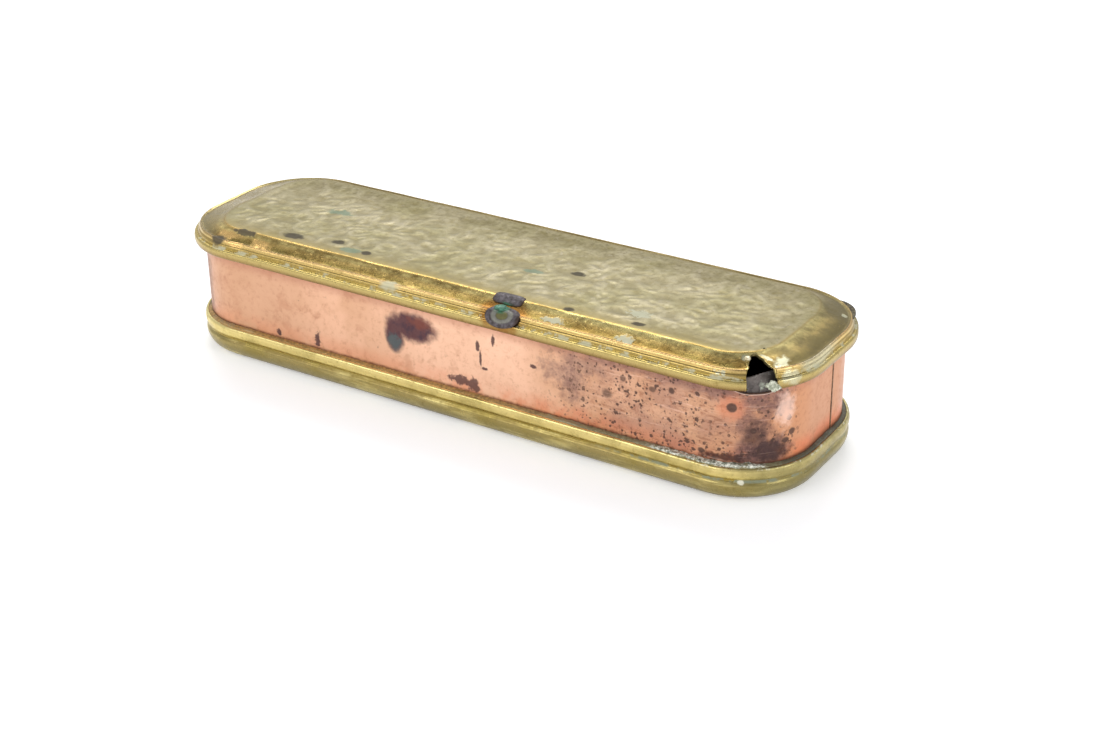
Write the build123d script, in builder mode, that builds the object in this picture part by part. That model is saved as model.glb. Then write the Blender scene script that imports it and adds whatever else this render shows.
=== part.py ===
"""Slim oblong case with round corners: a copper side band between a pressed brass lid and a pressed brass base.

Millimetres. X runs along the case, the front (catch side) faces -Y, the hinge is at the back, Z is up.
The origin is the centre of the underside. Profiles are drawn as (out, up): out is the distance outside
the outer face of the copper band, up is the height above the table.
"""
import math
import os

from build123d import *

os.makedirs("parts", exist_ok=True)

# copper side band
BAND_LENGTH = 155.2
BAND_WIDTH = 43.2
BAND_RADIUS = 15.8
COPPER_SHEET = 0.6
BAND_FOOT_Z = 1.6
BAND_TOP_Z = 24.5
SEAM_Y = 3.3
SEAM_GAP = 0.5
SEAM_CLEAR = 0.02

# brass sheet of the lid and the base
BRASS_SHEET = 0.5
BEND_RADIUS = 0.16

# lid, outer face from the flat panel to the turned-in foot
LID_TOP_Z = 30.75
PANEL_INSET = 3.2
PANEL_OVERLAP = 1.5
RIM_OUT = 2.45
RIM_LOW_Z = 25.3
FOOT_OUT = 0.9
FOOT_IN = -0.3
LID_PROFILE = [
    (-PANEL_INSET - PANEL_OVERLAP, LID_TOP_Z),
    (-PANEL_INSET, LID_TOP_Z),
    (-1.6, 29.95),
    (-0.2, 29.4),
    (0.2, 29.42),
    (0.6, 29.5),
    (1.0, 29.05),
    (1.55, 27.95),
    (1.75, 27.65),
    (2.15, 27.55),
    (RIM_OUT, 27.1),
    (RIM_OUT, 25.7),
    (2.15, RIM_LOW_Z),
    (FOOT_OUT, RIM_LOW_Z),
    (FOOT_OUT, BAND_TOP_Z),
    (FOOT_IN, BAND_TOP_Z),
]

# base pan, outer face from the upper lip to the flat underside
PAN_LIP_Z = 7.6
PAN_FLAT_IN = -1.4
PAN_OVERLAP = 1.5
PAN_PROFILE = [
    (1.3, PAN_LIP_Z),
    (1.75, 7.0),
    (1.75, 5.4),
    (1.25, 4.5),
    (1.6, 4.1),
    (1.65, 3.5),
    (1.35, 2.3),
    (0.4, 0.75),
    (PAN_FLAT_IN, 0.0),
    (PAN_FLAT_IN - PAN_OVERLAP, 0.0),
]

# solder that fills the gap between the band and the lip of the base
SOLDER_TOP_Z = 8.5
SOLDER_FOOT_Z = 6.2
SOLDER_CLEAR = 0.02

# inner collar that the lid closes over
COLLAR_SHEET = 0.45
COLLAR_GAP = 0.02
COLLAR_FOOT_Z = 16.5
COLLAR_TOP_Z = 28.2
COLLAR_BACK_CUT = 6.0

# hinge
AXIS_OUT = 0.9
AXIS_Z = 25.75
BARREL_RADIUS = 1.2
BORE_RADIUS = 0.53
PIN_RADIUS = 0.5
PIN_END = 0.2
PIN_ROUND = 0.15
KNUCKLE_LENGTH = 9.4
KNUCKLE_GAP = 0.15
KNUCKLES = 5
SEAT_FIXED = 0.005
SEAT_FREE = 0.12
NOTCH_CLEAR = 0.4
NOTCH_TOP_Z = 27.2
NOTCH_IN = 0.9
BODY_BEARER_OUT = 0.8
BODY_BEARER_LOW_Z = 20.5
BODY_BEARER_TOP_Z = 25.0
LID_BEARER_IN = 0.0
LID_BEARER_TOP_Z = 28.4
BEARER_CLEAR = 0.02

# catch on the front of the lid: a bar on the slope and an oval plate over the beads, held by one rivet
CATCH_X = 13.9
BAR_LENGTH = 6.8
BAR_WIDTH = 2.4
BAR_HEIGHT = 0.5
OVAL_LONG = 4.2
OVAL_SHORT = 2.9
OVAL_THICK = 0.45
OVAL_RING_INSET = 1.0
OVAL_RING_DEPTH = 0.15
RIVET_RADIUS = 1.0
RIVET_HEIGHT = 0.4
CATCH_CLEAR = 0.03

# the corner of the lid that is torn away
TEAR_POINTS = [
    (68.2, -16.0),
    (69.2, -14.7),
    (70.5, -15.2),
    (72.1, -16.0),
    (73.8, -16.7),
    (75.2, -17.0),
    (80.0, -19.0),
    (79.0, -27.0),
    (72.0, -25.5),
    (70.8, -21.6),
    (70.2, -20.8),
    (69.4, -18.6),
]
TEAR_LOW_Z = 20.0

# low relief on the lid panel, drawn for one quarter and mirrored: scrolls are arcs, leaves are ellipses
RELIEF_HEIGHT = 0.2
STEM_WIDTH = 0.9
SCROLLS = [
    (9.0, 5.2, 4.6, 150, 250),
    (9.6, 5.6, 2.2, 330, 260),
    (21.5, 6.4, 5.4, 200, 260),
    (22.2, 6.0, 2.7, 20, 250),
    (36.0, 5.4, 5.6, 110, 260),
    (36.4, 6.0, 2.8, 290, 250),
    (49.5, 6.2, 4.9, 190, 250),
    (50.0, 6.0, 2.3, 10, 250),
    (60.5, 4.2, 3.4, 130, 240),
]
LEAVES = [
    (15.2, 10.6, 35),
    (15.6, 2.6, -40),
    (29.0, 11.2, -30),
    (28.6, 2.4, 35),
    (42.8, 10.8, 30),
    (43.6, 2.6, -35),
    (55.6, 10.2, -40),
    (56.0, 1.8, 20),
    (65.6, 8.4, -60),
    (66.2, 2.2, 70),
    (4.2, 11.4, 15),
]
LEAF_LONG = 2.6
LEAF_SHORT = 0.9
ROSE_RADIUS = 3.0
ROSE_HOLE = 1.6
MIRRORS = [(1, 1), (-1, 1), (1, -1), (-1, -1)]


def sheet_inside(profile, sheet):
    """The inner face of a sheet whose outer face is the profile, corner by corner."""
    inner = []
    for i, (out, up) in enumerate(profile):
        before = profile[max(i - 1, 0)]
        after = profile[min(i + 1, len(profile) - 1)]
        normals = []
        for a, b in ((before, (out, up)), ((out, up), after)):
            length = math.hypot(b[0] - a[0], b[1] - a[1])
            if length > 0:
                normals.append(((b[1] - a[1]) / length, -(b[0] - a[0]) / length))
        side = sum(n[0] for n in normals) / len(normals)
        rise = sum(n[1] for n in normals) / len(normals)
        square = side * side + rise * rise
        inner.append((out + sheet * side / square, up + sheet * rise / square))
    return inner


def rail(out):
    """Closed path round the case at this distance outside the copper, from the middle of the front."""
    half_x = BAND_LENGTH / 2 + out
    half_y = BAND_WIDTH / 2 + out
    radius = BAND_RADIUS + out
    with BuildLine() as path:
        Line((0, -half_y), (-half_x + radius, -half_y))
        CenterArc((-half_x + radius, -half_y + radius), radius, -90, -90)
        Line((-half_x, -half_y + radius), (-half_x, half_y - radius))
        CenterArc((-half_x + radius, half_y - radius), radius, 180, -90)
        Line((-half_x + radius, half_y), (half_x - radius, half_y))
        CenterArc((half_x - radius, half_y - radius), radius, 90, -90)
        Line((half_x, half_y - radius), (half_x, -half_y + radius))
        CenterArc((half_x - radius, -half_y + radius), radius, 0, -90)
        Line((half_x - radius, -half_y), (0, -half_y))
    return path.wire()


def front_plane():
    """Plane across the front of the case: local x points outward, local y points up."""
    return Plane(origin=(0, -BAND_WIDTH / 2, 0), x_dir=(0, -1, 0), z_dir=(-1, 0, 0))


def back_plane(x):
    """Plane across the back of the case at this x: local x points outward, local y points up."""
    return Plane(origin=(x, BAND_WIDTH / 2, 0), x_dir=(0, 1, 0), z_dir=(1, 0, 0))


def bends(corners, profile):
    """Corners of a section that are bends of this profile, not its cut ends."""
    found = []
    for corner in corners:
        if any(math.hypot(corner.X - out, corner.Y - up) < BRASS_SHEET / 10 for out, up in profile[1:-1]):
            found.append(corner)
    return found


def plan(out, radius_out):
    """Rounded rectangle of the case's plan at this distance outside the copper."""
    RectangleRounded(BAND_LENGTH + 2 * out, BAND_WIDTH + 2 * out, BAND_RADIUS + radius_out)


lid_inside = sheet_inside(LID_PROFILE, BRASS_SHEET)
pan_inside = sheet_inside(PAN_PROFILE, BRASS_SHEET)
knuckle_pitch = KNUCKLE_LENGTH + KNUCKLE_GAP
barrel_length = KNUCKLES * KNUCKLE_LENGTH + (KNUCKLES - 1) * KNUCKLE_GAP
notch_length = barrel_length + 2 * NOTCH_CLEAR
axis_y = BAND_WIDTH / 2 + AXIS_OUT
knuckle_x = [(i - (KNUCKLES - 1) / 2) * knuckle_pitch for i in range(KNUCKLES)]
body_x = knuckle_x[0::2]
lid_x = knuckle_x[1::2]

# ---- copper side band, bent round and butted on the +X end
with BuildPart() as copper_band:
    with BuildSketch(Plane.XY.offset(BAND_FOOT_Z)):
        plan(0, 0)
        with Locations((0, 0)):
            RectangleRounded(
                BAND_LENGTH - 2 * COPPER_SHEET,
                BAND_WIDTH - 2 * COPPER_SHEET,
                BAND_RADIUS - COPPER_SHEET,
                mode=Mode.SUBTRACT,
            )
        with Locations((BAND_LENGTH / 2, SEAM_Y)):
            Rectangle(4 * COPPER_SHEET, SEAM_GAP, mode=Mode.SUBTRACT)
    extrude(amount=BAND_TOP_Z - BAND_FOOT_Z)
copper_band.part.label = "copper_band"

# ---- solder run into the butt joint of the band
with BuildPart() as seam_solder:
    with BuildSketch(Plane.XY.offset(BAND_FOOT_Z)):
        with Locations((BAND_LENGTH / 2 - COPPER_SHEET / 2, SEAM_Y)):
            Rectangle(COPPER_SHEET, SEAM_GAP - 2 * SEAM_CLEAR)
    extrude(amount=BAND_TOP_Z - BAND_FOOT_Z)
seam_solder.part.label = "seam_solder"

# ---- pressed base pan: beaded wall swept round the case, with a flat floor
with BuildPart() as base_pan:
    with BuildSketch(front_plane()) as section:
        with BuildLine():
            Polyline(*PAN_PROFILE, *reversed(pan_inside), close=True)
        make_face()
        fillet(bends(section.vertices(), PAN_PROFILE), BEND_RADIUS)
    sweep(path=rail(0))
    with BuildSketch():
        plan(PAN_FLAT_IN - PAN_OVERLAP / 2, PAN_FLAT_IN - PAN_OVERLAP / 2)
    extrude(amount=BRASS_SHEET)
base_pan.part.label = "base_pan"

# ---- solder bead between the band and the lip of the base
with BuildPart() as base_solder:
    with BuildSketch(front_plane()):
        with BuildLine():
            Polyline(
                (SOLDER_CLEAR, SOLDER_TOP_Z),
                (SOLDER_CLEAR, SOLDER_FOOT_Z),
                (pan_inside[2][0] - SOLDER_CLEAR, SOLDER_FOOT_Z),
                (pan_inside[1][0] - SOLDER_CLEAR, pan_inside[1][1]),
                (pan_inside[0][0] - SOLDER_CLEAR, pan_inside[0][1]),
                close=True,
            )
        make_face()
    sweep(path=rail(0))
base_solder.part.label = "base_solder"

# ---- inner collar, lower along the back so that the lid can swing
collar_out = -COPPER_SHEET - COLLAR_GAP
with BuildPart() as inner_collar:
    with BuildSketch(Plane.XY.offset(COLLAR_FOOT_Z)):
        plan(collar_out, collar_out)
        with Locations((0, 0)):
            RectangleRounded(
                BAND_LENGTH + 2 * (collar_out - COLLAR_SHEET),
                BAND_WIDTH + 2 * (collar_out - COLLAR_SHEET),
                BAND_RADIUS + collar_out - COLLAR_SHEET,
                mode=Mode.SUBTRACT,
            )
    extrude(amount=COLLAR_TOP_Z - COLLAR_FOOT_Z)
    with BuildSketch(Plane.XY.offset(BAND_TOP_Z)):
        with Locations((0, BAND_WIDTH / 2)):
            Rectangle(BAND_LENGTH, 2 * COLLAR_BACK_CUT)
    extrude(amount=COLLAR_TOP_Z, mode=Mode.SUBTRACT)
inner_collar.part.label = "inner_collar"

# ---- pressed lid: stepped edge swept round the panel, notched at the back for the hinge
with BuildPart() as lid_shell:
    with BuildSketch(front_plane()) as section:
        with BuildLine():
            Polyline(*LID_PROFILE, *reversed(lid_inside), close=True)
        make_face()
        fillet(bends(section.vertices(), LID_PROFILE), BEND_RADIUS)
    sweep(path=rail(0))
    panel_out = -PANEL_INSET - PANEL_OVERLAP / 2
    with BuildSketch(Plane.XY.offset(LID_TOP_Z - BRASS_SHEET)):
        plan(panel_out, panel_out)
    extrude(amount=BRASS_SHEET)
    # low relief: scrolls, leaves and a central ring
    with BuildSketch(Plane.XY.offset(LID_TOP_Z)):
        for centre_x, centre_y, radius, start, turn in SCROLLS:
            for side_x, side_y in MIRRORS:
                first = start if side_x * side_y > 0 else -start - turn
                with BuildLine():
                    CenterArc(
                        (side_x * centre_x, side_y * centre_y),
                        radius,
                        first if side_x > 0 else first + 180,
                        turn,
                    )
                trace(line_width=STEM_WIDTH)
        for centre_x, centre_y, lean in LEAVES:
            for side_x, side_y in MIRRORS:
                with Locations((side_x * centre_x, side_y * centre_y)):
                    Ellipse(LEAF_LONG, LEAF_SHORT, rotation=side_x * side_y * lean)
        Circle(ROSE_RADIUS)
        Circle(ROSE_HOLE, mode=Mode.SUBTRACT)
    extrude(amount=RELIEF_HEIGHT)
    # notch for the knuckles
    with BuildSketch(Plane.XY.offset(NOTCH_TOP_Z)):
        with Locations((0, BAND_WIDTH / 2 - NOTCH_IN)):
            Rectangle(notch_length, 3 * RIM_OUT, align=(Align.CENTER, Align.MIN))
    extrude(amount=-NOTCH_TOP_Z, mode=Mode.SUBTRACT)
    # torn corner at the front
    with BuildSketch(Plane.XY.offset(TEAR_LOW_Z)):
        with BuildLine():
            Polyline(*TEAR_POINTS, close=True)
        make_face()
    extrude(amount=LID_TOP_Z, mode=Mode.SUBTRACT)
lid_shell.part.label = "lid_shell"


# ---- hinge: the groove in a bearer is tight at the knuckles it holds and free at the others
with BuildPart() as body_bearer:
    with BuildSketch(back_plane(0)):
        with BuildLine():
            Polyline(
                (BEARER_CLEAR, BODY_BEARER_LOW_Z),
                (BODY_BEARER_OUT, BODY_BEARER_LOW_Z + BODY_BEARER_OUT),
                (BODY_BEARER_OUT, BODY_BEARER_TOP_Z),
                (BEARER_CLEAR, BODY_BEARER_TOP_Z),
                close=True,
            )
        make_face()
    extrude(amount=barrel_length / 2, both=True)
    for stations, play in ((body_x, SEAT_FIXED), (lid_x, SEAT_FREE)):
        for x in stations:
            with BuildSketch(back_plane(x)):
                with Locations((AXIS_OUT, AXIS_Z)):
                    Circle(BARREL_RADIUS + play)
            extrude(amount=knuckle_pitch / 2, both=True, mode=Mode.SUBTRACT)
body_bearer.part.label = "body_bearer"

wall_inside_high = lid_inside[6]
wall_inside_low = lid_inside[7]
with BuildPart() as lid_bearer:
    with BuildSketch(back_plane(0)):
        with BuildLine():
            Polyline(
                (LID_BEARER_IN, LID_BEARER_TOP_Z),
                (wall_inside_high[0] - BEARER_CLEAR, LID_BEARER_TOP_Z),
                (wall_inside_low[0] - BEARER_CLEAR, wall_inside_low[1]),
                (wall_inside_low[0] - BEARER_CLEAR, AXIS_Z),
                (LID_BEARER_IN, AXIS_Z),
                close=True,
            )
        make_face()
    extrude(amount=barrel_length / 2, both=True)
    for stations, play in ((lid_x, SEAT_FIXED), (body_x, SEAT_FREE)):
        for x in stations:
            with BuildSketch(back_plane(x)):
                with Locations((AXIS_OUT, AXIS_Z)):
                    Circle(BARREL_RADIUS + play)
            extrude(amount=knuckle_pitch / 2, both=True, mode=Mode.SUBTRACT)
lid_bearer.part.label = "lid_bearer"


def knuckle(x):
    """One short tube of the hinge barrel, centred at this x."""
    with BuildPart() as tube:
        with BuildSketch(back_plane(x)):
            with Locations((AXIS_OUT, AXIS_Z)):
                Circle(BARREL_RADIUS)
                Circle(BORE_RADIUS, mode=Mode.SUBTRACT)
        extrude(amount=KNUCKLE_LENGTH / 2, both=True)
    return tube.part


knuckles = []
for side, stations in (("body", body_x), ("lid", lid_x)):
    for count, x in enumerate(stations, start=1):
        tube = knuckle(x)
        tube.label = f"{side}_knuckle_{count}"
        knuckles.append(tube)

with BuildPart() as hinge_pin:
    with BuildSketch(back_plane(0)):
        with Locations((AXIS_OUT, AXIS_Z)):
            Circle(PIN_RADIUS)
    extrude(amount=barrel_length / 2 + PIN_END, both=True)
    fillet(hinge_pin.edges().filter_by(GeomType.CIRCLE), PIN_ROUND)
hinge_pin.part.label = "hinge_pin"

# ---- catch
slope_top = LID_PROFILE[1]
slope_low = LID_PROFILE[3]
slope_run = (slope_low[0] - slope_top[0], slope_low[1] - slope_top[1])
slope_length = math.hypot(*slope_run)
slope_normal = (0, slope_run[1] / slope_length, slope_run[0] / slope_length)
slope_middle = Vector(
    CATCH_X,
    -BAND_WIDTH / 2 - (slope_top[0] + slope_low[0]) / 2,
    (slope_top[1] + slope_low[1]) / 2,
)
bar_plane = Plane(origin=slope_middle, x_dir=(1, 0, 0), z_dir=slope_normal).offset(CATCH_CLEAR)
with BuildPart() as catch_bar:
    with BuildSketch(bar_plane):
        SlotOverall(BAR_LENGTH, BAR_WIDTH)
    extrude(amount=BAR_HEIGHT)
catch_bar.part.label = "catch_bar"

bead_top = LID_PROFILE[6]
bead_low = LID_PROFILE[10]
bead_run = (bead_low[0] - bead_top[0], bead_low[1] - bead_top[1])
bead_length = math.hypot(*bead_run)
bead_normal = (0, bead_run[1] / bead_length, bead_run[0] / bead_length)
bead_middle = Vector(
    CATCH_X,
    -BAND_WIDTH / 2 - (bead_top[0] + bead_low[0]) / 2,
    (bead_top[1] + bead_low[1]) / 2,
)
oval_plane = Plane(origin=bead_middle, x_dir=(1, 0, 0), z_dir=bead_normal).offset(CATCH_CLEAR)
with BuildPart() as catch_plate:
    with BuildSketch(oval_plane):
        Ellipse(OVAL_LONG, OVAL_SHORT)
    extrude(amount=OVAL_THICK)
    with BuildSketch(oval_plane.offset(OVAL_THICK)):
        Ellipse(OVAL_LONG - OVAL_RING_INSET, OVAL_SHORT - OVAL_RING_INSET)
    extrude(amount=-OVAL_RING_DEPTH, mode=Mode.SUBTRACT)
catch_plate.part.label = "catch_plate"

with BuildPart() as catch_rivet:
    with BuildSketch(oval_plane.offset(OVAL_THICK - OVAL_RING_DEPTH + CATCH_CLEAR)):
        Circle(RIVET_RADIUS)
    extrude(amount=RIVET_HEIGHT)
    fillet(catch_rivet.edges().filter_by(GeomType.CIRCLE).sort_by(Axis.Y)[0], RIVET_HEIGHT / 2)
catch_rivet.part.label = "catch_rivet"

pieces = [
    copper_band,
    seam_solder,
    base_pan,
    base_solder,
    inner_collar,
    lid_shell,
    body_bearer,
    lid_bearer,
    hinge_pin,
    catch_bar,
    catch_plate,
    catch_rivet,
]
for piece in [p.part for p in pieces] + knuckles:
    export_step(piece, f"parts/{piece.label}.step")
    box = piece.bounding_box()
    print(piece.label, round(piece.volume, 2), len(piece.solids()), box.min, box.max)
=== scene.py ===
"""Slim oblong case: worn copper side band, beaded brass base, stepped brass lid with low relief."""
import math
from functools import reduce

import bmesh
import bpy
import numpy as np
from mathutils import Matrix, Vector, geometry, noise


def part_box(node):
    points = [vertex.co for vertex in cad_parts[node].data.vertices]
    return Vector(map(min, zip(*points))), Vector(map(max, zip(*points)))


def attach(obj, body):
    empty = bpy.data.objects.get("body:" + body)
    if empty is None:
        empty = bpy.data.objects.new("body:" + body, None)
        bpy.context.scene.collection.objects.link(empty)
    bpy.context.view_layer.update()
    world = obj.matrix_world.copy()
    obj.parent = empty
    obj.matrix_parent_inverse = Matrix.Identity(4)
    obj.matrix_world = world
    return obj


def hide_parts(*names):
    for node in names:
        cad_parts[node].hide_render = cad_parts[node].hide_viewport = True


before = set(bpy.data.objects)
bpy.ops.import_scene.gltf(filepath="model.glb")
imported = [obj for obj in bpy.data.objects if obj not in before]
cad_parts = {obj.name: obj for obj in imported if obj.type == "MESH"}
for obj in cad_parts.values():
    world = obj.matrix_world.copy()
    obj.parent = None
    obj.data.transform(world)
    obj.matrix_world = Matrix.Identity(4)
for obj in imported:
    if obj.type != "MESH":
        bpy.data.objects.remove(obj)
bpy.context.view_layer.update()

MM = 0.001
band_low, band_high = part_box("copper_band")

# ---- sizes in metres
HALF_X = band_high[0]
HALF_Y = band_high[1]
CORNER = 15.8 * MM
SHEET = 0.5 * MM
COPPER = 0.6 * MM
STEP = 0.65 * MM
SEAM_Y = 3.3 * MM
SEAM_HALF = 0.25 * MM
WELD = 0.02 * MM
# spacing of the net of points on the lid's panel and on the flat floor of the base
PANEL_NET = 0.46 * MM
FLOOR_NET = 2.5 * MM

# ---- sizes in millimetres; profiles are (out from the band's outer face, up)
LID_TOP = 30.75
PANEL_START = -7.0
FLAP_SHEET = 0.22
COLLAR_SHEET = 0.45
CATCH_SUNK = 0.15
# height of the relief, of the grain and the wide unevenness of the panel, and how far its ground is sunk
RELIEF_HIGH, GRAIN_HIGH, PANEL_WAVE, GROUND_SUNK = 0.24, 0.06, 0.1, 0.18
# how far in from the band's face the relief ends, and how far round the tear the lid is crushed
RELIEF_INSET, CRUSHED_ROUND = 4.9, 2.4
# how far the top edges of the band and of the collar are knocked down under the tear, and how far round
CRUSH_DEEP, CRUSH_REACH = 0.95, 4.2
DIP_DEEP, DIP_REACH = 1.1, 3.6
# dents of the band and the base only go inward: the part of the unevenness above this is left flat
DENT_LEVEL = 0.07
# the lid's edge along the two long sides, point by point the same features as at the ends below
LID_FRONT = [
    (PANEL_START, LID_TOP), (-4.6, LID_TOP), (-3.8, 30.72), (-3.35, 30.5), (-2.6, 30.05), (-1.8, 29.65),
    (-1, 29.3), (-0.35, 29.05), (0, 29), (0.3, 29.25), (0.6, 29.2), (0.8, 28.8), (0.88, 28.45),
    (1.2, 28.3), (1.35, 27.95), (1.42, 27.5), (1.8, 27.42), (2.1, 27.4), (2.38, 27.15), (2.45, 26.6),
    (2.42, 25.9), (2.25, 25.45), (1.95, 25.28), (0.95, 25.24), (0.88, 24.85), (0.7, 24.56),
    (-0.3, 24.5),
]
LID_END = [
    (-9, LID_TOP), (-7.2, LID_TOP), (-6.3, 30.7), (-5.6, 30.55), (-4.2, 30.2), (-2.6, 29.85),
    (-1, 29.45), (0.1, 29.12), (0.55, 29.02), (0.85, 29.25), (1.1, 29.22), (1.28, 28.85),
    (1.36, 28.45), (1.5, 28.3), (1.58, 27.95), (1.6, 27.5), (1.85, 27.42), *LID_FRONT[17:],
]
PAN_FRONT = [
    (0.95, 7.55), (1.25, 7.6), (1.6, 7.35), (1.76, 6.8), (1.74, 6.1), (1.6, 5.6), (1.3, 5.1),
    (1.18, 4.75), (1.4, 4.45), (1.75, 4.1), (1.85, 3.6), (1.75, 2.9), (1.5, 2.2), (1.05, 1.35),
    (0.4, 0.65), (-0.4, 0.18), (-1.4, 0), (-2.6, 0),
]
PAN_END = [
    (0.95, 7.55), (1.25, 7.6), (1.55, 7.3), (1.68, 6.7), (1.66, 6), (1.52, 5.4), (1.3, 4.9),
    (1.22, 4.5), (1.34, 4.15), (1.52, 3.8), (1.56, 3.3), (1.45, 2.7), (1.2, 2), (0.8, 1.25),
    (0.25, 0.62), *PAN_FRONT[15:],
]


# ---- mesh helpers
def outline(step):
    """Points and outward normals round the band's outer face, anticlockwise from the middle of the front."""
    straight_x = HALF_X - CORNER
    straight_y = HALF_Y - CORNER
    points = []
    normals = []

    def run(start, end, normal):
        count = max(2, round(math.dist(start, end) / step))
        for i in range(count):
            t = i / count
            points.append((start[0] + (end[0] - start[0]) * t, start[1] + (end[1] - start[1]) * t))
            normals.append(normal)

    def turn(centre, start):
        count = round(math.pi / 2 * CORNER / step)
        for i in range(count):
            angle = math.radians(start + 90 * i / count)
            normal = (math.cos(angle), math.sin(angle))
            points.append((centre[0] + CORNER * normal[0], centre[1] + CORNER * normal[1]))
            normals.append(normal)

    run((0, -HALF_Y), (straight_x, -HALF_Y), (0, -1))
    turn((straight_x, -straight_y), -90)
    run((HALF_X, -straight_y), (HALF_X, straight_y), (1, 0))
    turn((straight_x, straight_y), 0)
    run((straight_x, HALF_Y), (-straight_x, HALF_Y), (0, 1))
    turn((-straight_x, straight_y), 90)
    run((-HALF_X, straight_y), (-HALF_X, -straight_y), (-1, 0))
    turn((-straight_x, -straight_y), 180)
    run((-straight_x, -HALF_Y), (0, -HALF_Y), (0, -1))
    return np.array(points), np.array(normals)


def smooth_line(points, rounds=1):
    """The polyline with its corners cut, its two ends kept."""
    line = np.array(points, float)
    for _ in range(rounds):
        near = line[:-1] * 0.75 + line[1:] * 0.25
        far = line[:-1] * 0.25 + line[1:] * 0.75
        cut = np.empty((2 * len(near), 2))
        cut[0::2] = near
        cut[1::2] = far
        line = np.vstack([line[:1], cut, line[-1:]])
    return line


def waves(places, size, seed):
    """Smooth random value from -1 to 1 at each place."""
    shift = Vector((seed * 7.31, seed * 3.17, seed * 1.93))
    return np.array([noise.noise(Vector(p) / size + shift) for p in places])


def new_object(name, vertices, faces, body):
    """A mesh object that rides on a body and takes its finish from a slot of the record."""
    mesh = bpy.data.meshes.new(name)
    mesh.from_pydata([tuple(v) for v in vertices], [], [tuple(f) for f in faces])
    mesh.validate()
    obj = bpy.data.objects.new(name, mesh)
    bpy.context.collection.objects.link(obj)
    for polygon in mesh.polygons:
        polygon.use_smooth = True
    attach(obj, body)
    return obj


def store(obj, name, values):
    """Keeps one number per vertex for the material to read."""
    layer = obj.data.attributes.new(name, "FLOAT", "POINT")
    layer.data.foreach_set("value", np.asarray(values, dtype=np.float32))


def thicken(obj, thickness):
    """Gives a sheet its thickness, inward from its face, with a second material slot for the inside."""
    for _ in range(2):
        obj.data.materials.append(None)
    solid = obj.modifiers.new("sheet", "SOLIDIFY")
    solid.thickness = thickness
    solid.offset = -1.0
    solid.use_even_offset = True
    solid.thickness_clamp = 1.0
    solid.material_offset = 1


def swept_faces(rows, columns, closed_columns=False, closed_rows=True):
    """Quads of a grid, outward when its rows run anticlockwise and its columns run down."""
    faces = []
    for i in range(rows if closed_rows else rows - 1):
        here, there = i * columns, (i + 1) % rows * columns
        for j in range(columns if closed_columns else columns - 1):
            beside = (j + 1) % columns
            faces.append((here + j, here + beside, there + beside, there + j))
    return faces


def strip_faces(rows, columns):
    """Faces of an open-ended strip that is closed all round, with its two end caps."""
    faces = swept_faces(rows, columns, True, False)
    faces.append(tuple(range(columns))[::-1])
    faces.append(tuple((rows - 1) * columns + j for j in range(columns)))
    return faces


def swept_vertices(path, normals, profile):
    """Vertices of the profile, or of one profile per row, carried round the path."""
    rows = np.broadcast_to(profile, (len(path), *np.shape(profile)[-2:]))
    vertices = np.empty((*rows.shape[:2], 3))
    vertices[:, :, 0] = path[:, None, 0] + normals[:, None, 0] * rows[:, :, 0] * MM
    vertices[:, :, 1] = path[:, None, 1] + normals[:, None, 1] * rows[:, :, 0] * MM
    vertices[:, :, 2] = rows[:, :, 1] * MM
    return vertices


def unevenness(grid, *layers):
    """Smooth random numbers over a grid of points; a layer is a size in millimetres, a depth and a seed."""
    flat = grid.reshape(-1, 3)
    return sum(waves(flat, size * MM, seed) * depth for size, depth, seed in layers).reshape(grid.shape[:2])


def push_out(grid, normals, amount):
    """Moves the points of each row out along the row's normal."""
    grid[:, :, 0] += normals[:, None, 0] * amount
    grid[:, :, 1] += normals[:, None, 1] * amount


def repair(obj, weld=None, outward=False):
    """Merges points closer than the weld, and can turn the faces of a closed mesh outward."""
    shape = bmesh.new()
    shape.from_mesh(obj.data)
    if weld:
        bmesh.ops.remove_doubles(shape, verts=shape.verts, dist=weld)
    if outward:
        bmesh.ops.recalc_face_normals(shape, faces=shape.faces)
    shape.to_mesh(obj.data)
    shape.free()


def sharp_edges(obj, degrees):
    """Smooth shading except across edges sharper than the angle."""
    obj.data.set_sharp_from_angle(angle=math.radians(degrees))


def blended(front, end, normals):
    """One smooth profile per row: the front's along the sides, turning into the end's round the corners."""
    side = smooth_line(front)
    cap = smooth_line(end)
    share = (normals[:, 0] ** 2)[:, None, None]
    return side[None] * (1 - share) + cap[None] * share


def feature_numbers(profile):
    """Which point of the unsmoothed profile each smoothed column belongs to."""
    return np.linspace(0, len(profile) - 1, len(smooth_line(profile)))


path, path_normals = outline(STEP)


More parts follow.
